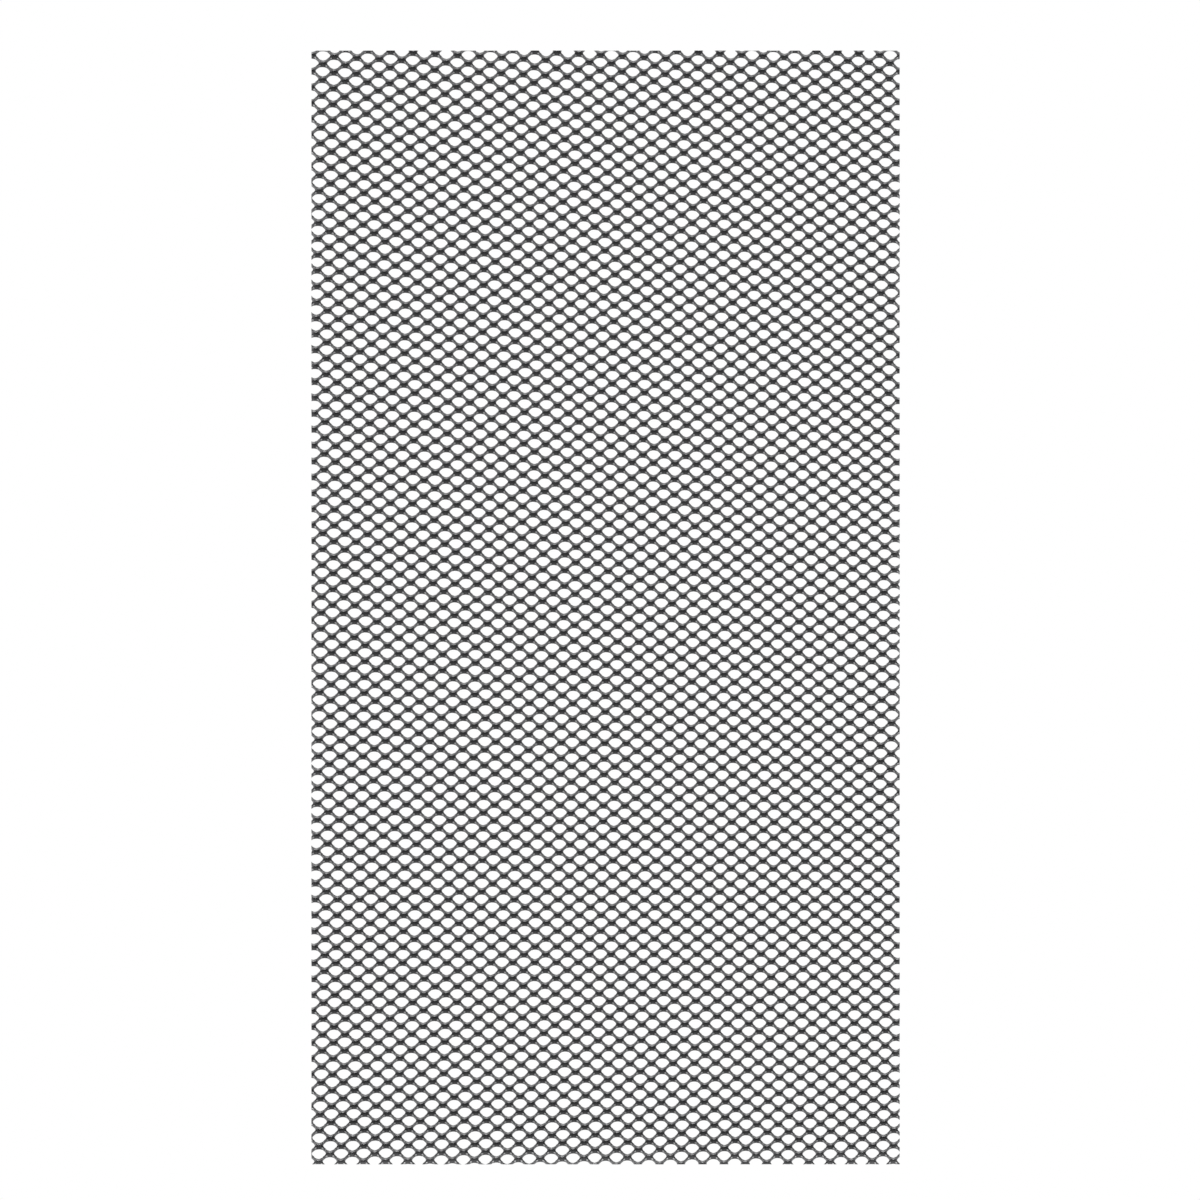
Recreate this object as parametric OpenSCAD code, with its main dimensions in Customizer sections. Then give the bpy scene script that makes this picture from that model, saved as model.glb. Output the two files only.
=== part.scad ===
/* [Sheet] */
// Width of the sheet, along the long way of its diamonds
sheet_w = 270; // [100:10:300]
// Length of the sheet, along the short way of its diamonds
sheet_l = 511.2; // [150:0.1:550]
// Overall thickness, over the raised strands
sheet_t = 3.7; // [1:0.1:5]
// Distance of the first whole row of bonds from the lower cut edge
foot_cut = 3.2; // [2.7:0.1:4.2]

/* [Mesh] */
// Long pitch, from bond to bond along a row
long_pitch = 9.92; // [9:0.01:14]
// Short pitch, from an opening to the next one above it
short_pitch = 7.175; // [6.8:0.005:10]
// Length of a bond, between the corners of two openings in a row
bond_w = 3.4; // [2.4:0.1:4.4]
// Height of a bond, between an opening and the one below it
bond_h = 2.8; // [2:0.1:3.2]
// Rise of an opening's arched top over its corners
arch_rise = 2.1; // [1.2:0.1:2.3]
// Rows of bonds in one band of the sheet
band_rows = 12; // [4:1:16]

/* [Stretch] */
// Shift of all columns to the right
column_start = 1.1; // [0:0.1:4]
// How far the columns lean to the right between the middle and the upper edge
column_lean = 5; // [-8:0.1:8]
// How far they curl further to the right at the upper edge
column_curl = 1.3; // [-3:0.1:3]
// How far the columns at both sides stand to the left, where the pitch tapers
column_taper = 2.5; // [0:0.1:4]
// How far the side columns spread at the upper and lower edges
column_spread = 0.8; // [0:0.1:2]
// How far the rows fall from the middle to the right side
row_fall = 2.6; // [-5:0.1:5]
// How much more they fall there at the upper edge, and less at the lower one
row_fan = 4.8; // [-8:0.1:8]
// How far the rows at the upper and lower edges sit below their even pitch
row_taper = 0.4; // [0:0.1:1]

/* [Hidden] */
// Rows stand half a short pitch apart, each shifted by half a long pitch
row_step = short_pitch / 2;
// Opening: its width at the corners, its depth below them, and the radius of its arch
open_w = long_pitch - bond_w;
open_drop = short_pitch - bond_h - arch_rise;
arch_r = (pow(open_w / 2, 2) + pow(arch_rise, 2)) / (2 * arch_rise);
arch_sides = 48;
// A bond's middle lies this far above its row's line of corners
bond_mid = (arch_rise - open_drop) / 2;
// The furthest that a row's ends and a column's ends stray from their even places
row_stray = abs(row_fall) + abs(row_fan) + row_taper + open_drop;
column_stray = abs(column_start) + abs(column_lean) + abs(column_curl) + column_taper + column_spread + open_w / 2;
// Openings to each side of the middle, and rows below and above the sheet, that it can need
half_count = ceil((sheet_w / 2 + column_stray) / long_pitch);
first_row = -ceil((foot_cut + row_stray) / row_step);
last_row = ceil((sheet_l - foot_cut + row_stray) / row_step);
bands = max(1, round((sheet_l - foot_cut) / (band_rows * row_step)));
dark_grey = [0.34, 0.34, 0.35];

// Even height of a row's line of corners, from the middle of the sheet
function row_y(row) = foot_cut + row * row_step - sheet_l / 2;
// Even places of a row's openings: every other row has one on the sheet's middle line
function opening_x(row) = [
    for (i = [-half_count : half_count]) (i + (row % 2 == 0 ? 0 : 0.5)) * long_pitch
];
// Where a place of the even mesh went as the sheet was stretched
function stretched(x, y) =
    let (across = x / (sheet_w / 2), up = y / (sheet_l / 2))
    [x + column_start + column_lean * up + column_curl * pow(up, 3)
        - column_taper * pow(across, 2) + column_spread * across * pow(up, 2),
     y - (row_fall + row_fan * up) * across - row_taper * pow(up, 2)];
// Whether an opening there reaches into the sheet
function in_sheet(place) = abs(place[0]) < (sheet_w + open_w) / 2 && abs(place[1]) < (sheet_l + short_pitch) / 2;
// Whether an opening there is cut by a side and by an end of the sheet, so that it cuts the corner off
function at_corner(place, turn) =
    let (depth = [sheet_w / 2 - abs(place[0]), sheet_l / 2 - abs(place[1])] / cos(turn))
    depth[0] > 0 && depth[0] < open_w / 2 && depth[1] > 0 && depth[1] < (place[1] < 0 ? open_drop : arch_rise);
// Height at one side of the sheet of the line that the corners of a row stand on
function side_height(side, y) =
    let (edge = side * sheet_w / 2,
         near = 2 * edge - stretched(edge, y)[0],
         even = near + edge - stretched(near, y)[0])
    stretched(even, y)[1];
// Upper edge of a band, from left to right: through the middle of a row of bonds, or the sheet's own cut edge.
// At the sides it meets the line of corners, so that no splinter is left beside an opening that the side cuts.
function band_edge(band) =
    band == 0 ? [[-sheet_w / 2, -sheet_l / 2], [sheet_w / 2, -sheet_l / 2]] :
    band == bands ? [[-sheet_w / 2, sheet_l / 2], [sheet_w / 2, sheet_l / 2]] :
    let (row = band * band_rows, y = row_y(row))
    [
        [-sheet_w / 2, side_height(-1, y)],
        for (x = opening_x(row)) let (place = stretched(x, y + bond_mid)) if (abs(place[0]) < sheet_w / 2) place,
        [sheet_w / 2, side_height(1, y)]
    ];
function backwards(points) = [for (i = [len(points) - 1 : -1 : 0]) points[i]];

// One opening: a pointed foot under an arched top
module opening() {
    top = arch_rise + 1;
    side = open_w / 2 * (1 + top / open_drop);
    intersection() {
        translate([0, arch_rise - arch_r]) circle(arch_r, $fn = arch_sides);
        polygon([[0, -open_drop], [side, top], [-side, top]]);
    }
}

// The corner of the sheet that falls away beyond an opening there
module loose_corner(place) {
    reach = open_w + short_pitch;
    translate([place[0] < 0 ? -reach : 0, place[1] < 0 ? -reach : 0]) square(reach);
}

// One band of the sheet, with bonds and strands left between its openings
module mesh_band(band) {
    first = band == 1 ? first_row : (band - 1) * band_rows;
    last = band == bands ? last_row : band * band_rows;
    color(dark_grey)
    linear_extrude(sheet_t)
    difference() {
        polygon(concat(band_edge(band - 1), backwards(band_edge(band))));
        for (row = [first : last], x = opening_x(row)) {
            left = stretched(x - open_w / 2, row_y(row));
            right = stretched(x + open_w / 2, row_y(row));
            place = (left + right) / 2;
            turn = atan2(right[1] - left[1], right[0] - left[0]);
            if (in_sheet(place))
                translate(place) rotate(turn) {
                    opening();
                    if (at_corner(place, turn)) loose_corner(place);
                }
        }
    }
}

for (band = [1 : bands])
    mesh_band(band);
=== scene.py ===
"""Raised expanded aluminium mesh: a sheet of slit and stretched metal, laid flat and seen from above."""
import math

import bmesh
import bpy
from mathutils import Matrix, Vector


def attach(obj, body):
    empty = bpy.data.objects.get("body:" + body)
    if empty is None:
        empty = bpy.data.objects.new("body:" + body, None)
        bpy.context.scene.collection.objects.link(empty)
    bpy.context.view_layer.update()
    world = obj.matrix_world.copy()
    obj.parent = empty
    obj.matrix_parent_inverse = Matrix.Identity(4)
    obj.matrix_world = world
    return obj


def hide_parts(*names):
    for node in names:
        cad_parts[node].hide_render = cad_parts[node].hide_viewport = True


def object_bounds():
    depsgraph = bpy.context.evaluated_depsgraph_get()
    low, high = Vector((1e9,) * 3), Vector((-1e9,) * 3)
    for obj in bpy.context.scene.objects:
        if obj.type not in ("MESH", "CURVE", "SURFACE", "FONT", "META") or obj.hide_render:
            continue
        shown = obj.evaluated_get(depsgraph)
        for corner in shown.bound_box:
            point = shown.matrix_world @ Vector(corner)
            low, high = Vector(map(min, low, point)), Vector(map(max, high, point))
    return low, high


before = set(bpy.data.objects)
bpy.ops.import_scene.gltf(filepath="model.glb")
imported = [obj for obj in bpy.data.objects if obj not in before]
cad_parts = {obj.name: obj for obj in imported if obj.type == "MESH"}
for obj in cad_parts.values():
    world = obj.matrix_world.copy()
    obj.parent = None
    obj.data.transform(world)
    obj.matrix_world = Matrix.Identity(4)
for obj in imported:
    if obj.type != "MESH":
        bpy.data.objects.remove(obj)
cad_low, cad_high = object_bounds()

MM = 0.001
NEAR = 0.003 * MM         # corners closer to a cut than this count as on it
SAME = 0.0001 * MM        # corners of one cell closer than this are one corner
MET = 0.001 * MM          # and so are those of neighbouring cells closer than this
SHARP = math.radians(35)  # faces that meet at more than this keep a hard edge between them

# The mesh, as the sheet's maker would give it
LONG_PITCH = 9.92 * MM    # bond to bond along a row
SHORT_PITCH = 7.175 * MM  # bond to bond up a column
STRAND_W = 1.82 * MM      # width of a strand, from one slit to the next
METAL_T = 1.33 * MM       # thickness of the metal
OUTWARD = 0.075 * MM      # how far its middle stands out of the plane of the slits
BOND_L = 3.2 * MM         # unslit length of a bond, from slit to slit
NIP_ROUND = 1.1 * MM      # how blunt the point of an opening is
SHOULDER = 0.12           # where the rounding of a nip is broken, as a share of half a long pitch
FLANK = (0.42, 0.55)      # and where the slope between two bonds is
ROLL_OVER = 0.75 * MM     # how far in from its upper edge the rolled face was drawn down by the blade
ROLL_DEEP = 0.22 * MM     # and how deep
FOOT_CUT = 3.2 * MM       # first whole row of bonds, over the sheet's lower cut edge
BAND_ROWS = 12            # rows of bonds in one band of the sheet
UPWARD = 0.2 * MM         # from the solids' openings to those seen, as the bonds' faces lean

ROW_STEP = SHORT_PITCH / 2
LEAN = math.acos(STRAND_W / ROW_STEP)            # of the bonds, from level
DROP = ROW_STEP * math.sin(LEAN)                 # of a strand, square to the bonds' faces
SLIT_END = BOND_L / 2
HALF = LONG_PITCH / 2
HALF_W, HALF_L = (cad_high.x - cad_low.x) / 2, (cad_high.y - cad_low.y) / 2   # of the sheet
FOOT = FOOT_CUT - HALF_L                         # row 0, from the sheet's middle

# Tones and surfaces of the metal, with painted shade on the bonds and under each nip and painted highlights
# over each nip and at the slits' ends; the grain is in streaks per metre along each axis of the sheet
ROLLED_DARK, ROLLED_LIGHT = (0.14, 0.14, 0.145, 1), (0.27, 0.27, 0.275, 1)
CUT_DARK, CUT_LIGHT = (0.12, 0.12, 0.125, 1), (0.27, 0.27, 0.275, 1)
# Oxide tone, then the painted shade colour, laid on the bonds' rolled faces and in a dark band under each nip
OXIDE, PAINTED_SHADE = (0.13, 0.13, 0.135, 1), (0.07, 0.07, 0.073, 1)
# Painted highlight colours: a near-white glint at each slit's end, and a lighter tone on the sheared face
# over each nip
SLIT_END_HIGHLIGHT, NIP_HIGHLIGHT = (0.9, 0.9, 0.905, 1), (0.42, 0.42, 0.425, 1)
# How much of the oxide tone, and how strongly the painted shade is laid on the bonds and under each nip
OXIDE_SHARE, BOND_SHADE_SHARE, NIP_SHADE_SHARE = 0.35, 0.6, 0.8
ROLLED_GRAIN = {"Across": 400.0, "Along": 4000.0, "Upright": 4000.0}
SHEAR_GRAIN = {"Across": 4500.0, "Along": 500.0, "Upright": 500.0, "Roughness": 0.7}
ROLLED_ROUGH, SHEAR_ROUGH, STREAK_ROUGH, SPECK_ROUGH = 0.42, 0.36, 0.1, 0.08
METALLIC = 0.9
BUMP, BUMP_DEPTH = 0.6, 0.06 * MM

# The strand's UV map: along runs from 0 at a nip to 1 at the next arch; across runs from 0 to 1 up the
# rolled face, from 1 to 2 over the sheared face above, from -1 to 0 over the one below, 3 to 4 on the back
OVER_EDGE, BEFORE_BACK = 1.001, 2.5
# Where the painted highlight at each slit's end sits in the strand's UV map, along and across
HIGHLIGHT_ALONG, HIGHLIGHT_ACROSS = 0.705, 0.7

# How far the sheet's columns (to the right) and rows (up) stray from an even mesh at its right and upper
# edges, and the powers of the shares of the way across and up with which each stray grows from the middle
STRETCH = {
    "Column Start": (0.85 * MM, 0, 0),
    "Column Lean": (5.15 * MM, 0, 1),
    "Column Bow": (0.55 * MM, 0, 2),
    "Column Curl": (1.3 * MM, 0, 3),
    "Column Taper": (-2.5 * MM, 2, 0),
    "Column Spread": (0.8 * MM, 1, 2),
    "Row Fall": (-2.6 * MM, 1, 0),
    "Row Fan": (-4.8 * MM, 1, 1),
    "Row Taper": (-0.4 * MM, 0, 2),
}


def furthest(kind):
    """The furthest that a column or a row strays from its even place."""
    return sum(abs(stray) for name, (stray, _, _) in STRETCH.items() if name.startswith(kind))


def foot_drop(x):
    """Lower edge of a strand: level along its bond, then down and round into the arch over an opening."""
    if x <= SLIT_END:
        return 0.0
    return -DROP * math.sqrt(1 - ((HALF - x) / (HALF - SLIT_END)) ** 2)


def head_drop(x):
    """Upper edge of a strand: falls away either side of the nip, then steps down to the next bond."""
    if x >= HALF - SLIT_END:
        return -DROP
    return NIP_ROUND - math.hypot(x, NIP_ROUND)


def section(x):
    """A strand cut across at one place: its corners at the foot's back and front, then the head's front and
    back, turned as the metal twists there between its bonds."""
    x_abs = abs(x)
    low, high = foot_drop(x_abs), head_drop(x_abs)
    twist = math.atan2(high - low, STRAND_W)
    corners = []
    for at_head, face in ((False, -1), (False, 1), (True, 1), (True, -1)):
        joined = x_abs >= HALF - SLIT_END if at_head else x_abs <= SLIT_END
        turn = 0 if joined else twist
        along = (STRAND_W if at_head else 0) - face * METAL_T / 2 * math.sin(turn)
        out = (high if at_head else low) + face * METAL_T / 2 * math.cos(turn) + OUTWARD
        corners.append(Vector((x, along * math.cos(LEAN) - out * math.sin(LEAN),
                               along * math.sin(LEAN) + out * math.cos(LEAN))))
    return corners


def strand_cell():
    """One long pitch of one strand, from bond to bond, open where it runs into its neighbours."""
    places = [0, SHOULDER * HALF, SLIT_END, *(share * HALF for share in FLANK)]
    places += [HALF - SLIT_END, (1 - SHOULDER) * HALF, HALF]
    bm = bmesh.new()
    cut = bm.faces.layers.float.new("cut_face")
    strand = bm.loops.layers.uv.new("strand")
    rings = []
    for x in [-x for x in places[:0:-1]] + places:
        foot_back, foot, head, head_back = section(x)
        foot_joined, head_joined = abs(x) <= SLIT_END, abs(x) >= HALF - SLIT_END
        rolled_in, deep = (0, 0) if head_joined else (ROLL_OVER, ROLL_DEEP)
        rolled_from = head + (foot - head).normalized() * rolled_in
        rolled_to = head + (head_back - head).normalized() * deep
        ring = [bm.verts.new(corner) for corner in (foot_back, foot, rolled_from, rolled_to, head_back)]
        edge = 1 - rolled_in / STRAND_W
        across = (-1, 0), (0, edge), (edge, 1), (1, 2), (3, 4)
        rings.append((ring, foot_joined, head_joined, abs(x) / HALF, across))
    for here, there in zip(rings, rings[1:]):
        ring, foot_met, head_met, u, across = here
        next_ring, next_foot_met, next_head_met, next_u, next_across = there
        for side, sheared in enumerate((1, 0, 0, 1, 0)):
            if (foot_met and next_foot_met and side == 0) or (head_met and next_head_met and side in (2, 3)):
                continue
            after = (side + 1) % len(ring)
            f = bm.faces.new((ring[side], next_ring[side], next_ring[after], ring[after]))
            f[cut] = sheared
            (low, high), (next_low, next_high) = across[side], next_across[side]
            for loop, at in zip(f.loops, ((u, low), (next_u, next_low), (next_u, next_high), (u, high))):
                loop[strand].uv = at
    bmesh.ops.remove_doubles(bm, verts=bm.verts, dist=SAME)
    bmesh.ops.recalc_face_normals(bm, faces=bm.faces)
    mesh = bpy.data.meshes.new("strand_cell")
    bm.to_mesh(mesh)
    bm.free()
    return mesh


def lattice_tree(cell_material):
    """Sets the strand's cells on a staggered lattice, joins them, and lets it stray as the sheet did."""
    tree = bpy.data.node_groups.new("expanded_lattice", "GeometryNodeTree")
    tree.is_modifier = True
    face = tree.interface
    face.new_socket("Cell", in_out="INPUT", socket_type="NodeSocketGeometry")
    for name in ("First Row", "Rows", "Columns"):
        face.new_socket(name, in_out="INPUT", socket_type="NodeSocketInt")
    for name in ("Long Pitch", "Row Step", "Foot", "Level", "Half Width", "Half Length", *STRETCH):
        face.new_socket(name, in_out="INPUT", socket_type="NodeSocketFloat")
    face.new_socket("Mesh", in_out="OUTPUT", socket_type="NodeSocketGeometry")
    nodes, links = tree.nodes, tree.links
    given = nodes.new("NodeGroupInput").outputs
    out = nodes.new("NodeGroupOutput")

    def feed(socket, value):
        if isinstance(value, bpy.types.NodeSocket):
            links.new(value, socket)
        else:
            socket.default_value = value

    def calc(kind, *values, whole=False):
        node = nodes.new("FunctionNodeIntegerMath" if whole else "ShaderNodeMath")
        node.operation = kind
        for socket, value in zip(node.inputs, values):
            feed(socket, value)
        return node.outputs[0]

    def node(kind, **fed):
        made = nodes.new(kind)
        for name, value in fed.items():
            feed(made.inputs[name.replace("_", " ")], value)
        return made

    # Where the bonds stand: each row is shifted by half a long pitch from the one below it
    index = nodes.new("GeometryNodeInputIndex").outputs[0]
    row = calc("DIVIDE_FLOOR", index, given["Columns"], whole=True)
    row = calc("ADD", row, given["First Row"], whole=True)
    column = calc("MODULO", index, given["Columns"], whole=True)
    shift = calc("MULTIPLY", calc("FLOORED_MODULO", row, 2, whole=True), 0.5)
    middle = calc("MULTIPLY", calc("SUBTRACT", given["Columns"], 1, whole=True), 0.5)
    x = calc("MULTIPLY", calc("ADD", calc("SUBTRACT", column, middle), shift), given["Long Pitch"])
    y = calc("MULTIPLY_ADD", row, given["Row Step"], given["Foot"])
    place = node("ShaderNodeCombineXYZ", X=x, Y=y, Z=given["Level"]).outputs[0]
    count = calc("MULTIPLY", given["Rows"], given["Columns"], whole=True)
    points = node("GeometryNodePoints", Count=count, Position=place).outputs[0]
    cells = node("GeometryNodeInstanceOnPoints", Points=points, Instance=given["Cell"]).outputs[0]
    whole = node("GeometryNodeRealizeInstances", Geometry=cells).outputs[0]
    joined = node("GeometryNodeMergeByDistance", Geometry=whole, Distance=MET).outputs[0]

    # How the sheet stretched
    at = node("ShaderNodeSeparateXYZ", Vector=nodes.new("GeometryNodeInputPosition").outputs[0]).outputs
    across, up = calc("DIVIDE", at[0], given["Half Width"]), calc("DIVIDE", at[1], given["Half Length"])
    strayed = {"Column": at[0], "Row": at[1]}
    for name, (_, across_power, up_power) in STRETCH.items():
        stray = given[name]
        for share in [across] * across_power + [up] * up_power:
            stray = calc("MULTIPLY", stray, share)
        kind = name.split()[0]
        strayed[kind] = calc("ADD", strayed[kind], stray)
    moved_to = node("ShaderNodeCombineXYZ", X=strayed["Column"], Y=strayed["Row"], Z=at[2]).outputs[0]
    moved = node("GeometryNodeSetPosition", Geometry=joined, Position=moved_to).outputs[0]
    finished = node("GeometryNodeSetMaterial", Geometry=moved, Material=cell_material).outputs[0]
    links.new(finished, out.inputs[0])
    return tree


def stretched_rows(cell, tree, first, last):
    """A plain mesh of the strands that stand on the given rows of bonds, a little wider than the sheet."""
    columns = 2 * math.ceil((HALF_W + furthest("Column")) / LONG_PITCH) + 2
    wanted = {
        "First Row": first, "Rows": last - first + 1, "Columns": columns, "Long Pitch": LONG_PITCH,
        "Row Step": ROW_STEP, "Foot": FOOT + UPWARD, "Level": (cad_low.z + cad_high.z) / 2,
        "Half Width": HALF_W, "Half Length": HALF_L, **{name: stray[0] for name, stray in STRETCH.items()},
    }
    carrier = bpy.data.objects.new("lattice", cell)
    bpy.context.scene.collection.objects.link(carrier)
    modifier = carrier.modifiers.new("lattice", "NODES")
    modifier.node_group = tree
    for item in tree.interface.items_tree:
        if item.in_out == "INPUT" and item.name in wanted:
            modifier[item.identifier] = wanted[item.name]
    made = bpy.data.meshes.new_from_object(carrier.evaluated_get(bpy.context.evaluated_depsgraph_get()))
    carrier.modifiers.clear()
    bpy.data.objects.remove(carrier)
    return made


def strayed(x, y):
    """Where a place of the even mesh went as the sheet was stretched."""
    across, up = x / HALF_W, y / HALF_L
    moved = {"Column": x, "Row": y}
    for name, (stray, across_power, up_power) in STRETCH.items():
        moved[name.split()[0]] += stray * across ** across_power * up ** up_power
    return Vector((moved["Column"], moved["Row"], 0))


def seam(row):
    """Line between two bands, from side to side, along the middle of a row of bonds."""
    return strayed(-HALF_W, FOOT + row * ROW_STEP), strayed(HALF_W, FOOT + row * ROW_STEP)


def trimmed(mesh, lower, upper):
    """Cuts the strands off at the sheet's sides and along two lines across it, and closes each cut end."""
    cuts = [((-HALF_W, 0, 0), (-1, 0, 0)), ((HALF_W, 0, 0), (1, 0, 0))]
    for (left, right), side in ((lower, -1), (upper, 1)):
        cuts.append((left, (side * (left.y - right.y), side * (right.x - left.x), 0)))
    bm = bmesh.new()
    bm.from_mesh(mesh)
    cut = bm.faces.layers.float["cut_face"]
    for point, outward in cuts:
        parts = bm.verts[:] + bm.edges[:] + bm.faces[:]
        bmesh.ops.bisect_plane(bm, geom=parts, dist=NEAR, plane_co=point, plane_no=outward,
                               clear_outer=True)
    ends = bmesh.ops.holes_fill(bm, edges=[e for e in bm.edges if e.is_boundary])["faces"]
    for f in ends:
        f[cut] = 1
    bmesh.ops.recalc_face_normals(bm, faces=bm.faces)
    if bm.calc_volume(signed=True) < 0:
        bmesh.ops.reverse_faces(bm, faces=bm.faces)
    bm.to_mesh(mesh)
    bm.free()
    mesh.shade_smooth()
    mesh.set_sharp_from_angle(angle=SHARP)
    return mesh


def effect_group(name, inputs, outputs):
    """A shader node group with named number inputs (name, default) and outputs (name, socket type)."""
    group = bpy.data.node_groups.new(name, "ShaderNodeTree")
    for socket, default in inputs:
        made = group.interface.new_socket(socket, in_out="INPUT", socket_type="NodeSocketFloat")
        made.default_value = default
    for socket, kind in outputs:
        group.interface.new_socket(socket, in_out="OUTPUT", socket_type=kind)
    return group, group.nodes.new("NodeGroupInput").outputs, group.nodes.new("NodeGroupOutput").inputs


def wire(tree, kind, settings=None, **fed):
    """Adds a node with its settings, and feeds each named (or _numbered) input from a socket or a value."""
    made = tree.nodes.new(kind)
    for key, value in (settings or {}).items():
        setattr(made, key, value)
    for key, value in fed.items():
        socket = made.inputs[int(key[1:])] if key[0] == "_" else made.inputs[key.replace("_", " ")]
        if isinstance(value, bpy.types.NodeSocket):
            tree.links.new(value, socket)
        else:
            socket.default_value = value
    return made


def math_node(tree, kind, a, b=0.0, c=0.0):
    """One sum on sockets or plain values."""
    return wire(tree, "ShaderNodeMath", {"operation": kind}, _0=a, _1=b, _2=c).outputs[0]


def grain_group():
    """Streaks of a rolled or sheared face: noise drawn out along one axis of the sheet."""
    group, given, out = effect_group(
        "metal_grain",
        (("Across", 400.0), ("Along", 400.0), ("Upright", 400.0), ("Roughness", 0.6)),
        (("Streak", "NodeSocketFloat"), ("Height", "NodeSocketFloat")))
    at = wire(group, "ShaderNodeTexCoord").outputs["Object"]
    size = wire(group, "ShaderNodeCombineXYZ", X=given["Across"], Y=given["Along"], Z=given["Upright"])
    drawn = wire(group, "ShaderNodeVectorMath", {"operation": "MULTIPLY"}, _0=at, _1=size.outputs[0])
    noise = wire(group, "ShaderNodeTexNoise", Vector=drawn.outputs[0], Scale=1.0, Detail=4.0,
                 Roughness=given["Roughness"])
    group.links.new(noise.outputs["Fac"], out["Height"])
    spread = wire(group, "ShaderNodeMapRange", Value=noise.outputs["Fac"], From_Min=0.3, From_Max=0.7)
    group.links.new(spread.outputs[0], out["Streak"])
    return group


def cloud_group():
    """Broad, soft change of tone over the sheet, from its oxide and from handling, with fine specks."""
    group, given, out = effect_group(
        "oxide_cloud",
        (("Cloud Scale", 18.0), ("Speck Scale", 900.0), ("Speck Share", 0.3)),
        (("Tone", "NodeSocketFloat"), ("Specks", "NodeSocketFloat")))
    at = wire(group, "ShaderNodeTexCoord").outputs["Object"]

    def noise(scale, detail, roughness, low, high):
        made = wire(group, "ShaderNodeTexNoise", Vector=at, Scale=given[scale], Detail=detail,
                    Roughness=roughness)
        spread = wire(group, "ShaderNodeMapRange", Value=made.outputs["Fac"], From_Min=low, From_Max=high)
        return spread.outputs[0]

    soft = noise("Cloud Scale", 3.0, 0.55, 0.3, 0.7)
    specks = noise("Speck Scale", 2.0, 0.5, 0.55, 0.75)
    tone = math_node(group, "MULTIPLY_ADD", specks, given["Speck Share"], soft)
    group.links.new(tone, out["Tone"])
    group.links.new(specks, out["Specks"])
    return group


def painted_light_group():
    """Painted light on the strands: painted shade over the bonds' rolled faces and in a dark band just under
    each nip, a painted highlight on the sheared face over each nip, and near-white painted highlights at the
    slits' ends.
    """
    group, given, out = effect_group(
        "painted_light_and_shade",
        (("Slit End", SLIT_END / HALF), ("Highlight Place", HIGHLIGHT_ALONG), ("Highlight Reach", 0.13)),
        (("Bond Shade", "NodeSocketFloat"), ("Nip Shade", "NodeSocketFloat"), ("Nip Highlight", "NodeSocketFloat"),
         ("Slit End Highlight", "NodeSocketFloat")))
    strand = wire(group, "ShaderNodeUVMap", {"uv_map": "strand"}).outputs[0]
    along, across = wire(group, "ShaderNodeSeparateXYZ", Vector=strand).outputs[:2]

    def both(a, b):
        return math_node(group, "MULTIPLY", a, b)

    def fade(value, full, none):
        return wire(group, "ShaderNodeMapRange", {"interpolation_type": "SMOOTHSTEP"}, Value=value,
                    From_Min=none, From_Max=full).outputs[0]

    def fade_by_slit(value, full, none):
        return fade(value, both(given["Slit End"], full), both(given["Slit End"], none))

    def away(value, place):
        return math_node(group, "ABSOLUTE", math_node(group, "SUBTRACT", value, place))

    on_rolled = math_node(group, "LESS_THAN", across, OVER_EDGE)
    on_sheared = both(math_node(group, "GREATER_THAN", across, OVER_EDGE),
                      math_node(group, "LESS_THAN", across, BEFORE_BACK))
    near_nip = fade_by_slit(along, 0.75, 1.25)
    near_arch = fade_by_slit(math_node(group, "SUBTRACT", 1.0, along), 0.45, 0.95)
    # Painted shade over the bonds' rolled faces, at the nip end and the arch end of each strand
    group.links.new(both(math_node(group, "MAXIMUM", near_nip, near_arch), on_rolled), out["Bond Shade"])
    # Painted shade in a dark band along the upper part of the rolled face, just under each nip
    group.links.new(both(both(near_nip, on_rolled), fade(across, 0.55, 0.3)), out["Nip Shade"])
    # Painted highlight on the sheared face over each nip
    group.links.new(both(fade(along, 0.2, 0.5), on_sheared), out["Nip Highlight"])
    # Painted highlight at each slit's end
    slit_end_glint = both(fade(away(along, given["Highlight Place"]), 0.0, given["Highlight Reach"]),
                fade(away(across, HIGHLIGHT_ACROSS), 0.1, 0.5))
    group.links.new(slit_end_glint, out["Slit End Highlight"])
    return group


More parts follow.
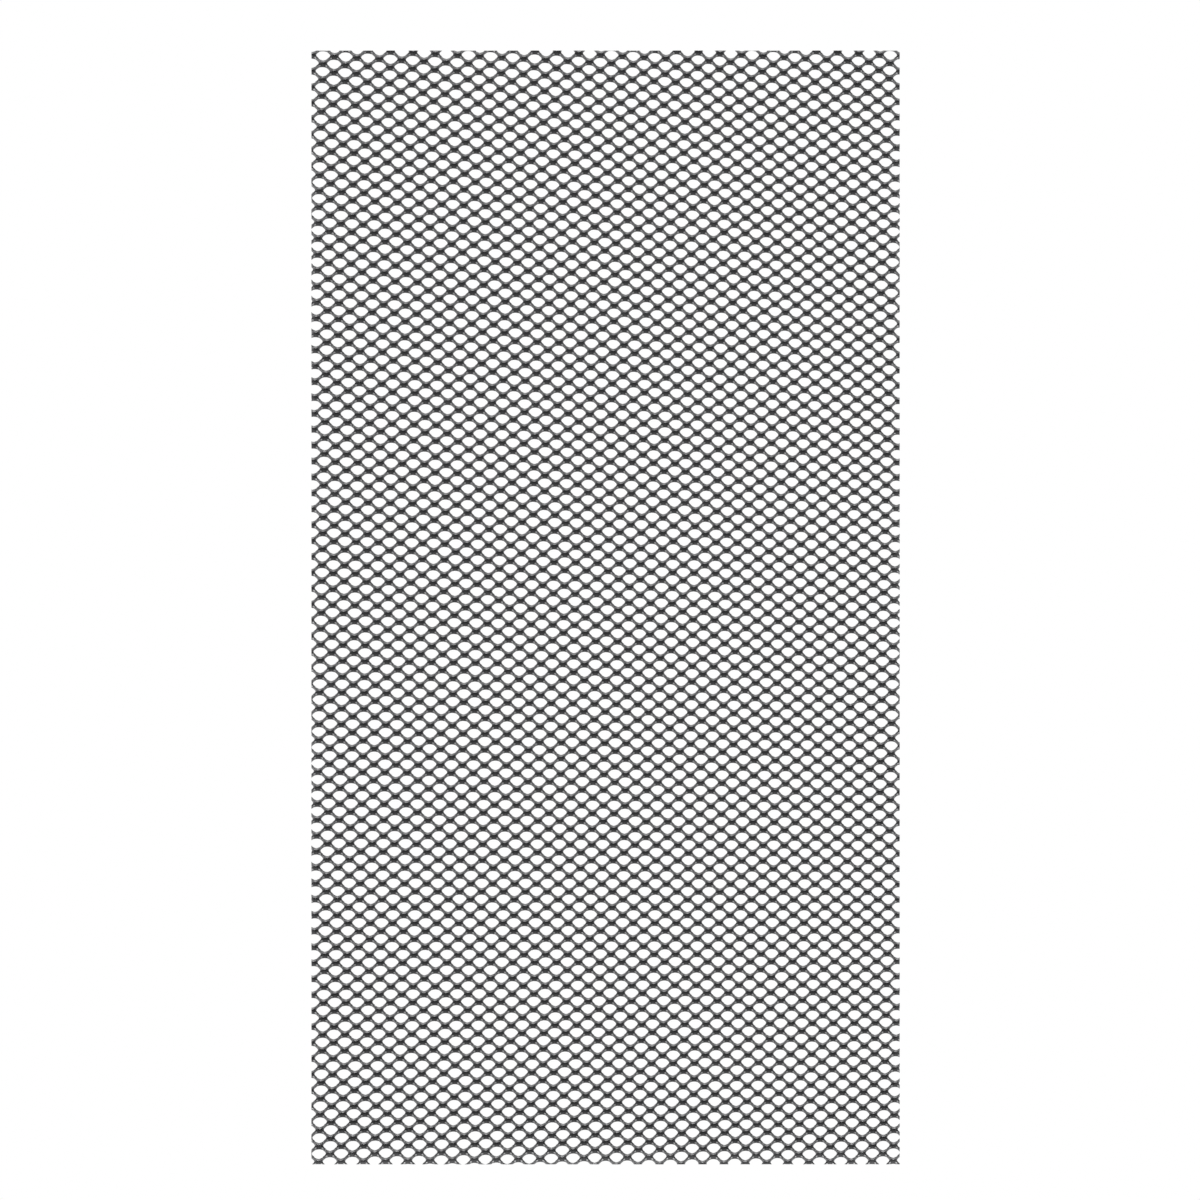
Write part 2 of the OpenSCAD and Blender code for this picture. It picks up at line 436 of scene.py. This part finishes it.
def metal():
    """Grey aluminium: rolled faces streaked along, sheared faces streaked across, with painted shade on the
    bonds and under each nip and painted highlights over each nip and at the slits' ends.
    """
    made = bpy.data.materials.new("stretched_aluminium")
    made.use_nodes = True
    tree = made.node_tree
    shader = tree.nodes["Principled BSDF"]
    cut = wire(tree, "ShaderNodeAttribute", {"attribute_name": "cut_face"}).outputs["Fac"]
    sheared = math_node(tree, "GREATER_THAN", cut, 0.5)

    grain, cloud = grain_group(), cloud_group()
    rolled = wire(tree, "ShaderNodeGroup", {"node_tree": grain}, **ROLLED_GRAIN)
    shear = wire(tree, "ShaderNodeGroup", {"node_tree": grain}, **SHEAR_GRAIN)
    oxide = wire(tree, "ShaderNodeGroup", {"node_tree": cloud})
    painted_marks = wire(tree, "ShaderNodeGroup", {"node_tree": painted_light_group()}).outputs

    def mixed(factor, a, b, kind="FLOAT"):
        node = wire(tree, "ShaderNodeMix", {"data_type": kind}, _0=factor)
        first = {"FLOAT": 2, "RGBA": 6}[kind]
        for socket, value in ((node.inputs[first], a), (node.inputs[first + 1], b)):
            if isinstance(value, bpy.types.NodeSocket):
                tree.links.new(value, socket)
            else:
                socket.default_value = value
        return node.outputs[{"FLOAT": 0, "RGBA": 2}[kind]]

    def toned(factor, a, b, share=1.0):
        return mixed(factor if share == 1.0 else math_node(tree, "MULTIPLY", factor, share), a, b, "RGBA")

    streak = mixed(sheared, rolled.outputs["Streak"], shear.outputs["Streak"])
    colour = toned(sheared, toned(streak, ROLLED_DARK, ROLLED_LIGHT), toned(streak, CUT_DARK, CUT_LIGHT))
    colour = toned(oxide.outputs["Tone"], colour, OXIDE, OXIDE_SHARE)
    # Painted shade on the bonds' rolled faces
    colour = toned(painted_marks["Bond Shade"], colour, PAINTED_SHADE, BOND_SHADE_SHARE)
    # Painted highlight on the sheared face over each nip
    colour = toned(painted_marks["Nip Highlight"], colour, NIP_HIGHLIGHT)
    # Painted shade in a dark band under each nip
    colour = toned(painted_marks["Nip Shade"], colour, PAINTED_SHADE, NIP_SHADE_SHARE)
    # Painted near-white highlight at each slit's end
    colour = toned(painted_marks["Slit End Highlight"], colour, SLIT_END_HIGHLIGHT)
    tree.links.new(colour, shader.inputs["Base Color"])

    rough = mixed(sheared, ROLLED_ROUGH, SHEAR_ROUGH)
    rough = math_node(tree, "MULTIPLY_ADD", streak, STREAK_ROUGH, rough)
    rough = math_node(tree, "MULTIPLY_ADD", oxide.outputs["Specks"], SPECK_ROUGH, rough)
    tree.links.new(rough, shader.inputs["Roughness"])
    shader.inputs["Metallic"].default_value = METALLIC

    height = mixed(sheared, rolled.outputs["Height"], shear.outputs["Height"])
    bump = wire(tree, "ShaderNodeBump", Strength=BUMP, Distance=BUMP_DEPTH, Height=height)
    tree.links.new(bump.outputs[0], shader.inputs["Normal"])
    return made


aluminium = metal()
tree = lattice_tree(aluminium)
cell = strand_cell()
below = Vector((-HALF_W, -HALF_L, 0)), Vector((HALF_W, -HALF_L, 0))
over = Vector((-HALF_W, HALF_L, 0)), Vector((HALF_W, HALF_L, 0))
spare_rows = math.ceil(furthest("Row") / ROW_STEP) + 2
names = sorted(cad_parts)
for place, name in enumerate(names):
    first, last = place * BAND_ROWS, (place + 1) * BAND_ROWS
    lower, upper = (below if place == 0 else seam(first)), seam(last)
    if name == names[-1]:
        last, upper = math.ceil(2 * HALF_L / ROW_STEP), over
    mesh = trimmed(stretched_rows(cell, tree, first - spare_rows, last + spare_rows), lower, upper)
    mesh.materials.clear()
    mesh.materials.append(aluminium)
    piece = bpy.data.objects.new(name.replace("mesh_band", "strands"), mesh)
    bpy.context.scene.collection.objects.link(piece)
    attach(piece, "root")
    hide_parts(name)

# The photograph's frame
FRAME_W = 551 * MM            # how wide the picture is at the sheet
IMAGE = 1200                  # its pixels
SHEET_AT = (605.55, 607.45)   # where the sheet's middle falls in them
EYE = 6.0                     # height of the camera, in metres
SENSOR_W, FURTHEST_SEEN = 36, 20

# The studio: soft boxes round the sheet (degrees clockwise from its far end, degrees up, watts), a lit
# floor (half its width in metres, its tone and roughness, and the light it gives off) and a faint sky
SOFTBOXES = (
    ("far_low", 0, 12, 3), ("far_high", 0, 35, 20), ("near_right", 120, 12, 55), ("near_left", 240, 12, 80),
    ("far_right", 60, 35, 20), ("far_left", 300, 35, 17),
)
SOFTBOX_SIZE, SOFTBOX_AWAY = 1.6, 4.0
FLOOR_HALF, FLOOR_TONE, FLOOR_ROUGH, FLOOR_GLOW = 4, 0.8, 0.9, 0.56
SKY = 0.1
WHITE = (1, 1, 1, 1)


def linked(name, data):
    """A new object in the scene."""
    made = bpy.data.objects.new(name, data)
    bpy.context.scene.collection.objects.link(made)
    return made


def pale_floor():
    """A level floor, seen as plain white by the camera and as a pale, softly lit surface by the metal."""
    mesh = bpy.data.meshes.new("floor")
    bm = bmesh.new()
    bmesh.ops.create_grid(bm, x_segments=1, y_segments=1, size=FLOOR_HALF)
    bm.to_mesh(mesh)
    bm.free()
    white = bpy.data.materials.new("white_floor")
    white.use_nodes = True
    tree = white.node_tree
    pale = tree.nodes["Principled BSDF"]
    pale.inputs["Base Color"].default_value = (FLOOR_TONE, FLOOR_TONE, FLOOR_TONE, 1)
    pale.inputs["Roughness"].default_value = FLOOR_ROUGH
    pale.inputs["Emission Color"].default_value = WHITE
    pale.inputs["Emission Strength"].default_value = FLOOR_GLOW
    glow = wire(tree, "ShaderNodeEmission", Color=WHITE, Strength=1.0)
    seen = wire(tree, "ShaderNodeLightPath").outputs["Is Camera Ray"]
    either = wire(tree, "ShaderNodeMixShader", _0=seen, _1=pale.outputs[0], _2=glow.outputs[0])
    tree.links.new(either.outputs[0], tree.nodes["Material Output"].inputs["Surface"])
    mesh.materials.append(white)
    linked("floor", mesh)


def softbox(name, turned, raised, power):
    """A square light that faces the sheet's middle, turned clockwise from its far end and raised."""
    lamp = bpy.data.lights.new(name, "AREA")
    lamp.shape = "SQUARE"
    lamp.size = SOFTBOX_SIZE
    lamp.energy = power
    box = linked(name, lamp)
    level = math.cos(raised)
    towards = Vector((math.sin(turned) * level, math.cos(turned) * level, math.sin(raised)))
    box.location = towards * SOFTBOX_AWAY
    box.rotation_euler = (-towards).to_track_quat("-Z", "Y").to_euler()


pale_floor()
for name, turned, raised, power in SOFTBOXES:
    softbox(name, math.radians(turned), math.radians(raised), power)

world = bpy.data.worlds.new("studio")
bpy.context.scene.world = world
world.use_nodes = True
world.node_tree.nodes["Background"].inputs["Color"].default_value = WHITE
world.node_tree.nodes["Background"].inputs["Strength"].default_value = SKY
bpy.context.scene.view_settings.view_transform = "Standard"

lens = bpy.data.cameras.new("camera")
lens.sensor_width = SENSOR_W
lens.lens = lens.sensor_width * EYE / FRAME_W
lens.clip_end = FURTHEST_SEEN
lens.shift_x = (IMAGE / 2 - SHEET_AT[0]) / IMAGE
lens.shift_y = (SHEET_AT[1] - IMAGE / 2) / IMAGE
camera = linked("camera", lens)
camera.location = (0, 0, EYE)
bpy.context.scene.camera = camera
